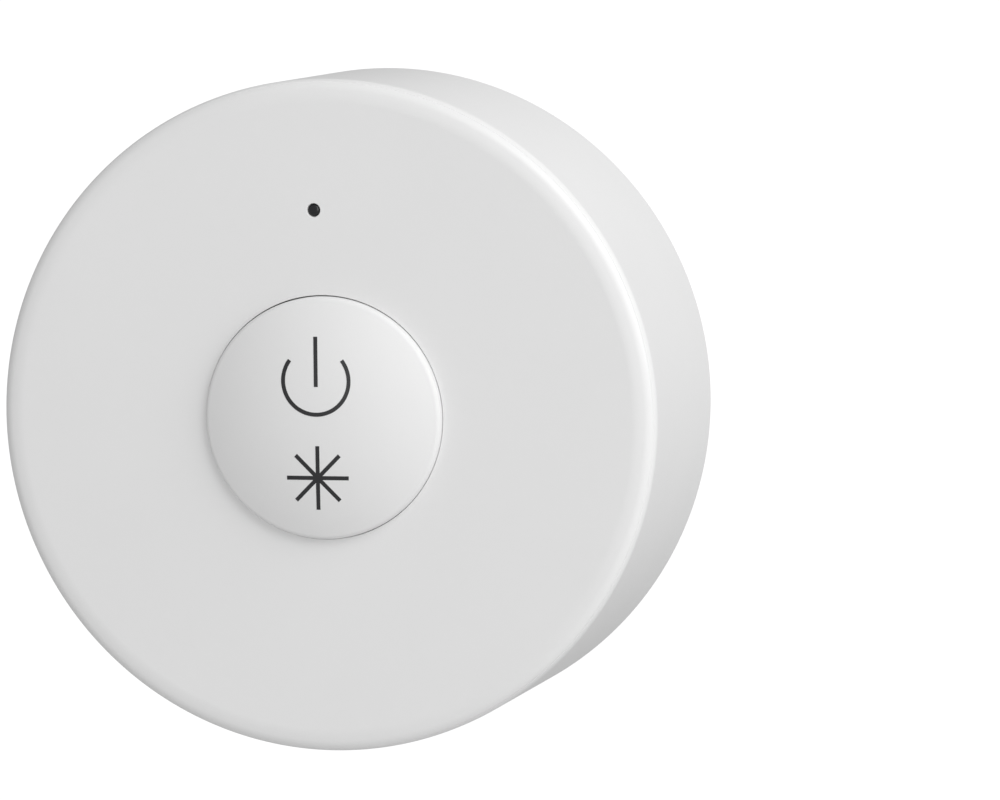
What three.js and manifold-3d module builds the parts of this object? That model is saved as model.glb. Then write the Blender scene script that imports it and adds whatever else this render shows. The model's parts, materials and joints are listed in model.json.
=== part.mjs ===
// A round wireless dimmer button for a wall: a white puck that magnets hold on a small wall plate.
// Millimetres, +Z up. The wall is the plane Y = 0 and the front faces -Y.
// Every piece is placed by its depth, the distance from the wall, so Y is minus the depth.
import * as THREE from "three";
import { mergeVertices } from "three/addons/utils/BufferGeometryUtils.js";
import Module from "manifold-3d";

const wasm = await Module();
wasm.setup();

// ---------- driving dimensions ----------

const ROUND = 48; // sides of the large circles
const SMALL_ROUND = 16; // sides of the small circles
const TOUCH = 0.1; // play between two pieces that rest on each other
const PLAY = 0.3; // play around a piece that moves or is pushed in

// the puck's casing
const puckRadius = 25;
const wallFrontRadius = 24.9; // the side wall has a slight draft towards the face
const rimDepth = 0.5; // the rear rim stops short of the wall
const faceDepth = 20.5;
const faceThickness = 2;
const edgeFillet = 0.95;
const shellInner = 22.4;
const coverSeatInner = 23.2; // the wall is thinner behind the rear cover's seat
const insideDepth = faceDepth - faceThickness;

// the button
const buttonRadius = 9.1;
const buttonHoleRadius = 9.35;
const buttonRimProud = 0.65;
const buttonCrownProud = 2.3;
const buttonEdgeFillet = 0.3;
const buttonWall = 1.4;
const buttonFlangeRadius = 10.6;

// the indicator above the button
const lightHeight = 15.4;
const lightHoleRadius = 0.5;

// the wall plate
const padThickness = 0.8;
const padRadius = 20;
const plateRadius = 22.2;
const plateThickness = 1.2;
const steelThickness = 0.9;
const steelInner = 14.5;
const steelOuter = 20.7;
const wallScrewOffset = 8;
const wallScrewRadius = 2.1;

// the rear cover and its fasteners
const coverDepth = 3.2;
const coverThickness = 1.6;
const coverRadius = 22.8;
const screwCircle = 19.4;
const screwAngles = [90, 210, 330];
const screwShankRadius = 0.95;
const screwHeadRadius = 1.8;
const screwLength = 6;
const bossRadius = 2.4;
const magnetCircle = 18.3;
const magnetAngles = [30, 150, 240, 300];
const magnetRadius = 2.5;
const magnetThickness = 2;

// the battery and its door
const cellRadius = 12.25;
const cellThickness = 5;
const doorRadius = 13.4;
const doorThickness = 1.4;
const doorLugOuter = 14.5;
const doorLugAngles = [90, 210, 330];
const doorLugWidth = 22;
const doorTwist = 35; // degrees from shut to free
const coinSlotLength = 13;
const coinSlotWidth = 1.8;

// the circuit board and what is soldered to it
const boardThickness = 1.2;
const boardRadius = 21.9;
const switchSize = 6;
const switchHeight = 3.5;
const plungerRadius = 1.7;
const plungerProud = 0.9;
const pairingHeight = -17.8;
const pairingPinRadius = 1.5;

// depths that follow from these
const plateDepth = padThickness;
const steelDepth = plateDepth + plateThickness;
const coverInside = coverDepth + coverThickness;
const pocketFloor = coverDepth + 2.1; // where a rear screw's head lands
const cupEnd = pocketFloor + 1.2;
const cellDepth = coverInside + TOUCH;
const cellEnd = cellDepth + cellThickness;
const lugDepth = coverInside + PLAY;
const lugEnd = lugDepth + 0.8;
const holderDepth = lugEnd + PLAY;
const boardDepth = cellEnd + 0.7;
const boardFront = boardDepth + boardThickness;
const switchTop = boardFront + switchHeight;
const plungerTop = switchTop + plungerProud;
const flangeFront = insideDepth - PLAY;
const flangeBack = flangeFront - 1.2;

// ---------- materials ----------

const finish = (color, roughness, metalness = 0) =>
  new THREE.MeshStandardMaterial({ color, roughness, metalness });
const materials = {
  whiteShell: finish(0xeceded, 0.42),
  whiteButton: finish(0xe9eaea, 0.35),
  whiteBack: finish(0xe2e3e3, 0.5),
  adhesive: finish(0x3c3d3f, 0.9),
  steel: finish(0xa9abad, 0.35, 1),
  magnet: finish(0xc2c4c6, 0.25, 1),
  screw: finish(0x6f7174, 0.35, 1),
  cell: finish(0xb9bbbd, 0.28, 1),
  contact: finish(0xc8b98a, 0.3, 1),
  holder: finish(0x2a2b2d, 0.55),
  board: finish(0x1d5a3a, 0.45),
  moduleBoard: finish(0x22303a, 0.45),
  chip: finish(0x1b1c1e, 0.5),
  can: finish(0xb5b7b9, 0.3, 1),
  switchBody: finish(0x242527, 0.5),
  plunger: finish(0x6d6f72, 0.5),
  led: finish(0xf0ead2, 0.4),
  smokedLens: finish(0x3a3c3f, 0.15),
};

// ---------- solids ----------

const radians = THREE.MathUtils.degToRad;

// A closed geometry as a solid that can be cut and joined.
function solid(geometry) {
  geometry.deleteAttribute("normal");
  geometry.deleteAttribute("uv");
  const merged = mergeVertices(geometry, 1e-4);
  return new wasm.Manifold(
    new wasm.Mesh({
      numProp: 3,
      vertProperties: merged.attributes.position.array,
      triVerts: new Uint32Array(merged.index.array),
    }),
  );
}

// A profile of [radius, depth] points turned round an axis that is square to the wall, at x and z.
function turned(profile, x = 0, z = 0, sides = ROUND) {
  const points = profile.map(([radius, depth]) => new THREE.Vector2(radius, -depth));
  if (THREE.ShapeUtils.area(points) < 0) points.reverse();
  return solid(new THREE.LatheGeometry(points, sides).translate(x, 0, z));
}

function disc(radius, from, to, x = 0, z = 0, sides = SMALL_ROUND) {
  return turned([[0, from], [radius, from], [radius, to], [0, to]], x, z, sides);
}

function ring(inner, outer, from, to, x = 0, z = 0, sides = ROUND) {
  const profile = [[inner, from], [outer, from], [outer, to], [inner, to], [inner, from]];
  return turned(profile, x, z, sides);
}

// A box between two depths, centred on x and z.
function block(width, height, from, to, x = 0, z = 0) {
  const geometry = new THREE.BoxGeometry(width, to - from, height);
  return solid(geometry.translate(x, -(from + to) / 2, z));
}

// A flat shape in x and z, made thick from one depth to another.
function plate(shape, from, to, curveSegments = 8) {
  const options = { depth: to - from, bevelEnabled: false, curveSegments };
  const geometry = new THREE.ExtrudeGeometry(shape, options);
  return solid(geometry.rotateX(Math.PI / 2).translate(0, -from, 0));
}

// A piece of a ring round the puck's axis, width degrees wide about the middle angle.
function sector(inner, outer, from, to, middle, width) {
  const start = radians(middle - width / 2);
  const end = radians(middle + width / 2);
  const shape = new THREE.Shape();
  shape.absarc(0, 0, outer, start, end, false);
  shape.absarc(0, 0, inner, end, start, true);
  return plate(shape, from, to, 6);
}

// A strip of sheet metal bent in x and depth, made wide along z.
function bentStrip(points, thickness, width, z = 0) {
  const far = points.map(([x, depth]) => [x, depth - thickness]).reverse();
  const outline = [...points, ...far].map(([x, depth]) => new THREE.Vector2(x, -depth));
  const options = { depth: width, bevelEnabled: false };
  const geometry = new THREE.ExtrudeGeometry(new THREE.Shape(outline), options);
  return solid(geometry.translate(0, 0, z - width / 2));
}

// Points of an arc in [radius, depth], from one angle to another in degrees.
function arc(radius, depth, size, from, to, steps) {
  return Array.from({ length: steps + 1 }, (_, i) => {
    const angle = radians(from + ((to - from) * i) / steps);
    return [radius + size * Math.cos(angle), depth + size * Math.sin(angle)];
  });
}

const onCircle = (radius, angle) => [
  radius * Math.cos(radians(angle)),
  radius * Math.sin(radians(angle)),
];
const joined = (first, ...others) => others.reduce((all, one) => all.add(one), first);
const cutBy = (first, ...others) => others.reduce((all, one) => all.subtract(one), first);

const puck = new THREE.Group();

// Gives a finished solid its name and material and puts it in the model.
function piece(name, body, material) {
  const { vertProperties, triVerts } = body.getMesh();
  const geometry = new THREE.BufferGeometry();
  geometry.setAttribute("position", new THREE.BufferAttribute(vertProperties, 3));
  geometry.setIndex(new THREE.BufferAttribute(triVerts, 1));
  geometry.computeVertexNormals();
  const mesh = new THREE.Mesh(geometry, material);
  mesh.name = name;
  puck.add(mesh);
}

// ---------- the wall plate ----------

function adhesivePad() {
  const holes = [-1, 1].map((side) =>
    disc(wallScrewRadius + 1.1, -1, padThickness + 1, side * wallScrewOffset),
  );
  return cutBy(disc(padRadius, 0, padThickness, 0, 0, ROUND), ...holes);
}

// A round plate with a low rim that keeps the steel ring in place, and two countersunk screw holes.
function wallPlate() {
  const base = disc(plateRadius, plateDepth, steelDepth, 0, 0, ROUND);
  const rim = ring(steelOuter + PLAY, plateRadius, plateDepth, steelDepth + steelThickness);
  const countersink = (side) => {
    const profile = [
      [0, plateDepth - 1],
      [wallScrewRadius, plateDepth - 1],
      [wallScrewRadius, plateDepth + 0.2],
      [wallScrewRadius + 1.9, steelDepth],
      [wallScrewRadius + 1.9, steelDepth + 1],
      [0, steelDepth + 1],
    ];
    return turned(profile, side * wallScrewOffset, 0, SMALL_ROUND);
  };
  // The notch at the top takes the rear cover's key, so that the puck hangs upright.
  const notch = block(5, 3, plateDepth + 0.4, coverDepth, 0, plateRadius);
  return cutBy(base.add(rim), countersink(-1), countersink(1), notch);
}

piece("adhesive_pad", adhesivePad(), materials.adhesive);
piece("wall_plate", wallPlate(), materials.whiteBack);
const steelRing = ring(steelInner, steelOuter, steelDepth, steelDepth + steelThickness);
piece("steel_ring", steelRing, materials.steel);

// ---------- the puck's casing ----------

function shellBoss(angle) {
  const [x, z] = onCircle(screwCircle, angle);
  return disc(bossRadius, cupEnd + PLAY, insideDepth + 0.5, x, z);
}

function shellBossHole(angle) {
  const [x, z] = onCircle(screwCircle, angle);
  return disc(screwShankRadius + 0.2, cupEnd, pocketFloor + screwLength + 1, x, z, 12);
}

// The face and the side wall are one moulding, with the button's hole, the indicator's pinhole,
// a guide ring for the button and three screw bosses.
function frontShell() {
  const coverSeat = coverInside + PLAY;
  const outside = [
    [coverSeatInner, rimDepth],
    [puckRadius - 0.2, rimDepth],
    [puckRadius, rimDepth + 0.2],
    ...arc(wallFrontRadius - edgeFillet, faceDepth - edgeFillet, edgeFillet, 0, 90, 5),
    [buttonHoleRadius + 0.2, faceDepth],
    [buttonHoleRadius, faceDepth - 0.2],
    [buttonHoleRadius, insideDepth],
    [shellInner, insideDepth],
    [shellInner, coverSeat],
    [coverSeatInner, coverSeat],
    [coverSeatInner, rimDepth],
  ];
  const guide = ring(buttonFlangeRadius + 0.4, buttonFlangeRadius + 1.3, 15.5, insideDepth + 0.5);
  const lightSleeve = disc(2.2, 15.5, insideDepth + 0.5, 0, lightHeight);
  const lightBore = disc(1.3, 15, faceDepth - 1.2, 0, lightHeight);
  const pinhole = disc(lightHoleRadius, insideDepth, faceDepth + 1, 0, lightHeight);
  const walls = joined(turned(outside), guide, lightSleeve, ...screwAngles.map(shellBoss));
  return cutBy(walls, lightBore, pinhole, ...screwAngles.map(shellBossHole));
}

// A cup under each screw's head, a blind pocket for each magnet, three gaps that let the door's
// lugs in, the hole over the pairing button and the key that fits the wall plate.
function rearCover() {
  const opening = doorRadius + PLAY;
  const sheet = ring(opening, coverRadius, coverDepth, coverInside);
  const cups = screwAngles.map((angle) => {
    const [x, z] = onCircle(screwCircle, angle);
    return disc(screwHeadRadius + 0.8, coverDepth + 0.2, cupEnd, x, z);
  });
  const pockets = magnetAngles.map((angle) => {
    const [x, z] = onCircle(magnetCircle, angle);
    return disc(magnetRadius + 0.8, coverDepth + 0.2, coverDepth + 3, x, z);
  });
  const key = block(4, 1.4, coverDepth - 1.4, coverDepth + 0.5, 0, coverRadius - 0.9);
  const screwHoles = screwAngles.flatMap((angle) => {
    const [x, z] = onCircle(screwCircle, angle);
    return [
      disc(screwHeadRadius + PLAY, coverDepth - 1, pocketFloor, x, z),
      disc(screwShankRadius + 0.2, coverDepth - 1, cupEnd + 1, x, z, 12),
    ];
  });
  const magnetHoles = magnetAngles.map((angle) => {
    const [x, z] = onCircle(magnetCircle, angle);
    return disc(magnetRadius + 0.2, coverDepth + 0.7, coverDepth + 4, x, z);
  });
  const lugGaps = doorLugAngles.map((angle) => {
    const middle = angle - doorTwist;
    const width = doorLugWidth + 4;
    return sector(opening - 1, doorLugOuter + PLAY, coverDepth - 1, cupEnd, middle, width);
  });
  const pairingHole = disc(pairingPinRadius + PLAY, coverDepth - 1, cupEnd, 0, pairingHeight);
  const whole = joined(sheet, ...cups, ...pockets, key);
  return cutBy(whole, ...screwHoles, ...magnetHoles, ...lugGaps, pairingHole);
}

function rearScrew(angle) {
  const [x, z] = onCircle(screwCircle, angle);
  const head = pocketFloor - TOUCH;
  const profile = [
    [0, head - 1.2],
    [screwHeadRadius - 0.3, head - 1.2],
    [screwHeadRadius, head - 0.8],
    [screwHeadRadius, head],
    [screwShankRadius, head],
    [screwShankRadius, head + screwLength - 0.8],
    [0, head + screwLength],
  ];
  const cross = [[2.2, 0.5], [0.5, 2.2]].map(([width, height]) =>
    block(width, height, head - 2, head - 0.6, x, z),
  );
  return cutBy(turned(profile, x, z, 16), ...cross);
}

function magnet(angle) {
  const [x, z] = onCircle(magnetCircle, angle);
  const floor = coverDepth + 0.7 + TOUCH;
  return disc(magnetRadius, floor, floor + magnetThickness, x, z);
}

piece("front_shell", frontShell(), materials.whiteShell);
piece("rear_cover", rearCover(), materials.whiteBack);
screwAngles.forEach((angle, i) => {
  piece(`rear_screw_${i + 1}`, rearScrew(angle), materials.screw);
});
magnetAngles.forEach((angle, i) => {
  piece(`magnet_${i + 1}`, magnet(angle), materials.magnet);
});

// ---------- the battery ----------

// A round door with a coin slot and a skirt whose three lugs catch behind the rear cover.
function batteryDoor() {
  const lid = disc(doorRadius, coverDepth, coverDepth + doorThickness, 0, 0, ROUND);
  const skirt = ring(doorRadius - 0.8, doorRadius, coverDepth + 1, lugEnd);
  const lugs = doorLugAngles.map((angle) =>
    sector(doorRadius - 0.5, doorLugOuter, lugDepth, lugEnd, angle, doorLugWidth),
  );
  const slot = block(coinSlotLength, coinSlotWidth, coverDepth - 1, coverDepth + 0.8);
  return joined(lid, skirt, ...lugs).subtract(slot);
}

// The steel can is the positive pole. The smaller negative cap faces the board.
function coinCell() {
  const profile = [
    [0, cellDepth],
    ...arc(cellRadius - 0.5, cellDepth + 0.5, 0.5, -90, 0, 3),
    [cellRadius, cellEnd - 0.7],
    [cellRadius - 0.5, cellEnd - 0.3],
    [cellRadius - 1, cellEnd - 0.5],
    [cellRadius - 1.4, cellEnd],
    [0, cellEnd],
  ];
  return turned(profile);
}

// A collar round the cell with a flange against the board, open on one side for the contact.
function batteryHolder() {
  const flangeDepth = boardDepth - 0.9;
  const collar = ring(cellRadius + 0.45, cellRadius + 1.75, holderDepth, boardDepth - TOUCH);
  const flange = ring(cellRadius + 1, cellRadius + 2.9, flangeDepth, boardDepth - TOUCH);
  const gap = block(8, 7, holderDepth - 1, boardDepth + 1, cellRadius + 3);
  return collar.add(flange).subtract(gap);
}

// A leaf that stands on the board and springs against the side of the cell's can.
function positiveContact() {
  const leaf = 0.25;
  const upright = block(leaf, 5, holderDepth + 0.6, boardDepth - TOUCH, cellRadius + PLAY);
  const foot = block(3.6, 5, boardDepth - TOUCH - leaf, boardDepth - TOUCH, cellRadius + 2);
  return upright.add(foot);
}

// A bowed leaf between the board and the cell's negative cap.
function negativeContact() {
  const low = boardDepth - TOUCH;
  const high = cellEnd + TOUCH + 0.2;
  const bow = [[-7, low], [-5, low], [-1.5, high], [1.5, high], [5, low], [7, low]];
  return bentStrip(bow, 0.2, 3.5);
}

piece("battery_door", batteryDoor(), materials.whiteBack);
piece("coin_cell", coinCell(), materials.cell);
piece("battery_holder", batteryHolder(), materials.holder);
piece("battery_contact_positive", positiveContact(), materials.contact);
piece("battery_contact_negative", negativeContact(), materials.contact);

// ---------- the circuit board ----------

function circuitBoard() {
  const notches = screwAngles.map((angle) => {
    const [x, z] = onCircle(screwCircle, angle);
    return disc(bossRadius + 0.4, boardDepth - 1, boardFront + 1, x, z);
  });
  return cutBy(disc(boardRadius, boardDepth, boardFront, 0, 0, ROUND), ...notches);
}

function tactSwitchBody() {
  const body = block(switchSize, switchSize, boardFront, switchTop);
  const well = disc(plungerRadius + 0.2, switchTop - 2.1, switchTop + 1);
  return body.subtract(well);
}

function lightPipe() {
  const profile = [
    [0, boardFront + 1],
    [1.1, boardFront + 1],
    [1.1, faceDepth - 1.7],
    [0.8, faceDepth - 1.3],
    [0, faceDepth - 1.3],
  ];
  return turned(profile, 0, lightHeight, SMALL_ROUND);
}

// The pairing button's pin has a collar behind the rear cover, so that it can't fall out.
function pairingButton() {
  const profile = [
    [0, coverDepth + 0.2],
    [pairingPinRadius, coverDepth + 0.2],
    [pairingPinRadius, lugDepth],
    [pairingPinRadius + 0.8, lugDepth],
    [pairingPinRadius + 0.8, lugEnd],
    [pairingPinRadius - 0.5, lugEnd],
    [pairingPinRadius - 0.5, boardDepth - 1.9],
    [0, boardDepth - 1.9],
  ];
  return turned(profile, 0, pairingHeight, SMALL_ROUND);
}

const moduleTop = boardFront + 0.8;
const boardParts = [
  // name, width, height, from depth, to depth, x, z, material
  ["radio_module_board", 11, 14, boardFront, moduleTop, -12.8, 0.5, "moduleBoard"],
  ["radio_shield_can", 9, 9.5, moduleTop, moduleTop + 1.8, -12.8, -0.9, "can"],
  ["microcontroller", 6, 6, boardFront, boardFront + 0.9, 11.5, 6, "chip"],
  ["crystal", 3.2, 2.5, boardFront, boardFront + 0.7, 11.5, 0.2, "can"],
  ["buffer_capacitor", 7.3, 4.3, boardFront, boardFront + 2.9, 10.5, -7, "chip"],
  ["indicator_led", 1.6, 1.6, boardFront, boardFront + 0.7, 0, lightHeight, "led"],
  ["pairing_switch", 4.2, 4.2, boardDepth - 1.6, boardDepth, 0, pairingHeight, "switchBody"],
];

piece("circuit_board", circuitBoard(), materials.board);
piece("tact_switch_body", tactSwitchBody(), materials.switchBody);
const plunger = disc(plungerRadius, switchTop - 1.6, plungerTop);
piece("tact_switch_plunger", plunger, materials.plunger);
piece("light_pipe", lightPipe(), materials.smokedLens);
piece("pairing_button", pairingButton(), materials.plunger);
boardParts.forEach(([name, width, height, from, to, x, z, material]) => {
  piece(name, block(width, height, from, to, x, z), materials[material]);
});

// ---------- the button ----------

// A domed cap with a skirt, a flange that stops behind the face, and a stem that meets the switch.
function buttonCap() {
  const rimFront = faceDepth + buttonRimProud;
  const crown = faceDepth + buttonCrownProud;
  const domeEdge = buttonRadius - buttonEdgeFillet;
  const rise = crown - rimFront;
  const domeRadius = (domeEdge ** 2 + rise ** 2) / (2 * rise);
  const halfAngle = THREE.MathUtils.radToDeg(Math.asin(domeEdge / domeRadius));
  const dome = (thickness, steps) =>
    arc(0, crown - domeRadius, domeRadius - thickness, 90 - halfAngle, 90, steps);
  const innerDome = dome(buttonWall, 3).map(([r, depth]) => [
    (r * (buttonRadius - buttonWall)) / domeEdge,
    depth,
  ]);
  const profile = [
    [buttonFlangeRadius, flangeBack],
    [buttonFlangeRadius, flangeFront],
    [buttonRadius, flangeFront],
    [buttonRadius, rimFront - buttonEdgeFillet],
    [buttonRadius - 0.1, rimFront - 0.1],
    ...dome(0, 6),
    ...innerDome.reverse(),
    [buttonRadius - buttonWall, flangeBack],
    [buttonFlangeRadius, flangeBack],
  ];
  const stem = disc(2, plungerTop + TOUCH, crown - 1);
  const ribs = [[16, 1], [1, 16]].map(([width, height]) =>
    block(width, height, crown - 3.6, crown - 1.9),
  );
  return joined(turned(profile), stem, ...ribs);
}

piece("button_cap", buttonCap(), materials.whiteButton);

export default puck;
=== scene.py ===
"""The looks of a round wall-mounted wireless dimmer button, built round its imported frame.

The frame is in metres, +Z up. The wall is the plane Y = 0 and the front of the puck faces -Y.
Pieces are drawn in millimetres and brought to metres when they are shown.
"""

import json
import math

import bmesh
import bpy
from mathutils import Matrix, Vector

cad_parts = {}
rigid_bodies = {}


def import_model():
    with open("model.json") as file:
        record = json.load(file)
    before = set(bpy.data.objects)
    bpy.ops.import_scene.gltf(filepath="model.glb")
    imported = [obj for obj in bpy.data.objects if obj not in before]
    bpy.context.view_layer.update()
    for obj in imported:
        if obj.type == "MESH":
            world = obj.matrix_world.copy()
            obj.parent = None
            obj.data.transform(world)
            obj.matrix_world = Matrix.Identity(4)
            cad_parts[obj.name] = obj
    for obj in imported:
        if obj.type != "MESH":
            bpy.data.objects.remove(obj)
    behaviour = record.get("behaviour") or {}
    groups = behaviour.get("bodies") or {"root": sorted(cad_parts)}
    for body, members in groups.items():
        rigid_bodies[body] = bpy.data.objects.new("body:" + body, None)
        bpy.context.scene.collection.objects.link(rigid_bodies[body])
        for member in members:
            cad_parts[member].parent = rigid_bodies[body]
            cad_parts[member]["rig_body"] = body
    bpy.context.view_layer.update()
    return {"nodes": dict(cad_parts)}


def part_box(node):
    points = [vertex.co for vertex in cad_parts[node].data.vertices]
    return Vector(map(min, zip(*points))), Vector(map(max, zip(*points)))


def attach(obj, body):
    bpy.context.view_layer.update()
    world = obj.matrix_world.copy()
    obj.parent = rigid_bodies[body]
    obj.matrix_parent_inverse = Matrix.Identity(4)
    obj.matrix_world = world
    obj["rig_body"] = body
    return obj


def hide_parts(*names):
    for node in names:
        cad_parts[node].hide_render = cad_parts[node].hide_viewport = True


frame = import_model()
MM = 0.001

# ---------- places, from the frame ----------


def box_mm(node):
    """The lowest and highest corners of a CAD node, in millimetres."""
    low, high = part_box(node)
    return low / MM, high / MM


def middle(node):
    """The x and z of the middle of a CAD node, in millimetres."""
    low, high = box_mm(node)
    return (low.x + high.x) / 2, (low.z + high.z) / 2


shell_low, shell_high = box_mm("front_shell")
cap_low, cap_high = box_mm("button_cap")
cover_high = box_mm("rear_cover")[1]
door_high = box_mm("battery_door")[1]
plate_low, plate_high = box_mm("wall_plate")
steel_low, steel_high = box_mm("steel_ring")
pad_low, pad_high = box_mm("adhesive_pad")
pipe_high = box_mm("light_pipe")[1]
pin_high = box_mm("pairing_button")[1]
plunger_low = box_mm("tact_switch_plunger")[0]
pairing_switch_high = box_mm("pairing_switch")[1]

PUCK_RADIUS = shell_high.x
FACE_Y = shell_low.y
RIM_Y = shell_high.y
COVER_Y = door_high.y  # the rear cover and the door lie flush; only the key stands out of them
COVER_RADIUS = cover_high.x
CAP_RADIUS = 8.99
CAP_ASIDE = (0.035, -0.015)  # the cap leans to one side of its hole by part of the play
CROWN_Y = cap_low.y
PINHOLE_ASIDE = (-0.13, -0.05)  # the pinhole is moulded a little off the light pipe's middle
pipe_x, pipe_z = middle("light_pipe")
pinhole_place = (pipe_x + PINHOLE_ASIDE[0], pipe_z + PINHOLE_ASIDE[1])

# ---------- camera ----------

CAMERA_AZIMUTH = 14.03  # degrees round the puck, to the right of its front
CAMERA_ELEVATION = 4.78
CAMERA_ROLL = -2.38
CAMERA_DISTANCE = 0.5
CAMERA_ASIDE = 0.00822  # metres; the puck is left of the middle of the picture
CAMERA_LOWERED = 0.00053
CAMERA_LENS = 234.1


def direction(azimuth, elevation):
    """The way out from the puck: azimuth 0 is straight out of its face and 90 is to its right."""
    a, e = math.radians(azimuth), math.radians(elevation)
    return Vector((math.sin(a) * math.cos(e), -math.cos(a) * math.cos(e), math.sin(e)))


def make_camera():
    """A long lens that looks down at the face from its right."""
    back = direction(CAMERA_AZIMUTH, CAMERA_ELEVATION)
    level = Vector((0, 0, 1)).cross(back).normalized()
    roll = Matrix.Rotation(math.radians(CAMERA_ROLL), 3, back)
    right = roll @ level
    up = back.cross(right)
    camera = bpy.data.objects.new("camera", bpy.data.cameras.new("camera"))
    camera.data.lens = CAMERA_LENS
    camera.data.clip_start = 0.01
    target = Vector((0, RIM_Y * MM, 0))
    place = target + back * CAMERA_DISTANCE + right * CAMERA_ASIDE - up * CAMERA_LOWERED
    axes = Matrix((right, up, back)).transposed().to_4x4()
    camera.matrix_world = Matrix.Translation(place) @ axes
    bpy.context.scene.collection.objects.link(camera)
    bpy.context.scene.camera = camera


make_camera()

# ---------- mesh helpers ----------

AROUND = 240  # sides of the large circles
AROUND_SMALL = 48
SHARP = math.radians(38)  # an edge that turns by more than this stays crisp
ARC_STEP = math.radians(7)
OVERLAP = 0.5  # how far joined solids reach into each other
BEYOND = 1.0  # how far a cutter stands out of what it cuts


def rounded(corners, closed=True):
    """A profile from corners of (radius, y, rounding), each rounding an arc of that radius."""
    points = []
    count = len(corners)
    for i, (radius, y, rounding) in enumerate(corners):
        here = Vector((radius, y))
        if rounding == 0 or (not closed and i in (0, count - 1)):
            points.append(here)
            continue
        before = (Vector(corners[i - 1][:2]) - here).normalized()
        after = (Vector(corners[(i + 1) % count][:2]) - here).normalized()
        turn = math.pi - before.angle(after)
        centre = here + (before + after).normalized() * rounding / math.cos(turn / 2)
        outward = (here - centre).normalized()
        along = (after - before).normalized()
        steps = max(2, math.ceil(turn / ARC_STEP))
        for k in range(steps + 1):
            angle = turn * (k / steps - 0.5)
            points.append(centre + (outward * math.cos(angle) + along * math.sin(angle)) * rounding)
    return points


def new_piece(name, bm):
    """A mesh brought into the scene as an object."""
    mesh = bpy.data.meshes.new(name)
    bm.to_mesh(mesh)
    bm.free()
    piece = bpy.data.objects.new(name, mesh)
    bpy.context.scene.collection.objects.link(piece)
    return piece


def turned(name, profile, centre=(0, 0), sides=AROUND, closed=True):
    """A profile of (radius, y) turned round the line through (x, z) that is square to the wall."""
    bm = bmesh.new()
    rings = []
    for radius, y in profile:
        around = sides if radius > 1e-6 else 1
        ring = []
        for k in range(around):
            a = 2 * math.pi * k / sides
            x, z = centre[0] + radius * math.cos(a), centre[1] + radius * math.sin(a)
            ring.append(bm.verts.new((x, y, z)))
        rings.append(ring)
    following = rings[1:] + (rings[:1] if closed else [])
    for one, two in zip(rings, following):
        for k in range(sides):
            corners = [one[k % len(one)], one[(k + 1) % len(one)]]
            corners += [two[(k + 1) % len(two)], two[k % len(two)]]
            corners = list(dict.fromkeys(corners))
            if len(corners) > 2:
                bm.faces.new(corners)
    bmesh.ops.recalc_face_normals(bm, faces=bm.faces)
    return new_piece(name, bm)


def disc(name, radius, back_y, front_y, centre=(0, 0), sides=AROUND_SMALL):
    """A plain round solid from back_y to front_y, for cutting and joining."""
    profile = [(0, back_y), (radius, back_y), (radius, front_y), (0, front_y)]
    return turned(name, profile, centre, sides, closed=False)


def flared(name, radius, mouth_y, bottom_y, centre, flare):
    """A round cutter whose mouth opens out by flare, so that the hole has a softened edge."""
    inward = math.copysign(1, bottom_y - mouth_y)
    profile = [
        (0, mouth_y - inward * BEYOND),
        (radius + flare, mouth_y - inward * BEYOND),
        (radius + flare, mouth_y),
        (radius + flare * 0.3, mouth_y + inward * flare * 0.3),
        (radius, mouth_y + inward * flare),
        (radius, bottom_y),
        (0, bottom_y),
    ]
    return turned(name, profile, centre, AROUND_SMALL, closed=False)


def extruded(name, outline, back_y, front_y):
    """An outline of (x, z) points made solid between two depths."""
    bm = bmesh.new()
    back = [bm.verts.new((x, back_y, z)) for x, z in outline]
    front = [bm.verts.new((x, front_y, z)) for x, z in outline]
    bm.faces.new(back)
    bm.faces.new(front)
    for k, vert in enumerate(back):
        after = (k + 1) % len(back)
        bm.faces.new([vert, back[after], front[after], front[k]])
    bmesh.ops.recalc_face_normals(bm, faces=bm.faces)
    return new_piece(name, bm)


def sector(name, inner, outer, back_y, front_y, angle, width, steps=12):
    """A piece of a ring, width degrees wide about an angle."""
    angles = [math.radians(angle + width * (k / steps - 0.5)) for k in range(steps + 1)]
    outline = [(outer * math.cos(a), outer * math.sin(a)) for a in angles]
    outline += [(inner * math.cos(a), inner * math.sin(a)) for a in reversed(angles)]
    return extruded(name, outline, back_y, front_y)


def rectangle(name, width, height, back_y, front_y, centre=(0, 0)):
    """A block that is width along x and height along z."""
    x, z = centre
    outline = [(x + i * width / 2, z + k * height / 2) for i, k in ((-1, -1), (1, -1), (1, 1), (-1, 1))]
    return extruded(name, outline, back_y, front_y)


def shaped(piece, operation, others):
    """Cuts the other solids out of a piece, or joins them to it."""
    for other in others:
        modifier = piece.modifiers.new("shape", "BOOLEAN")
        modifier.operation = operation
        modifier.solver = "EXACT"
        modifier.object = other
    depsgraph = bpy.context.evaluated_depsgraph_get()
    mesh = bpy.data.meshes.new_from_object(piece.evaluated_get(depsgraph))
    piece.modifiers.clear()
    piece.data = mesh
    for other in others:
        bpy.data.objects.remove(other)
    return piece


def shade(piece):
    """Smooth faces with crisp corners, and normals that keep the flat faces flat."""
    bm = bmesh.new()
    bm.from_mesh(piece.data)
    for face in bm.faces:
        face.smooth = True
    for edge in bm.edges:
        edge.smooth = len(edge.link_faces) == 2 and edge.calc_face_angle(0) < SHARP
    bm.to_mesh(piece.data)
    bm.free()
    modifier = piece.modifiers.new("flat faces", "WEIGHTED_NORMAL")
    modifier.keep_sharp = True


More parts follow.
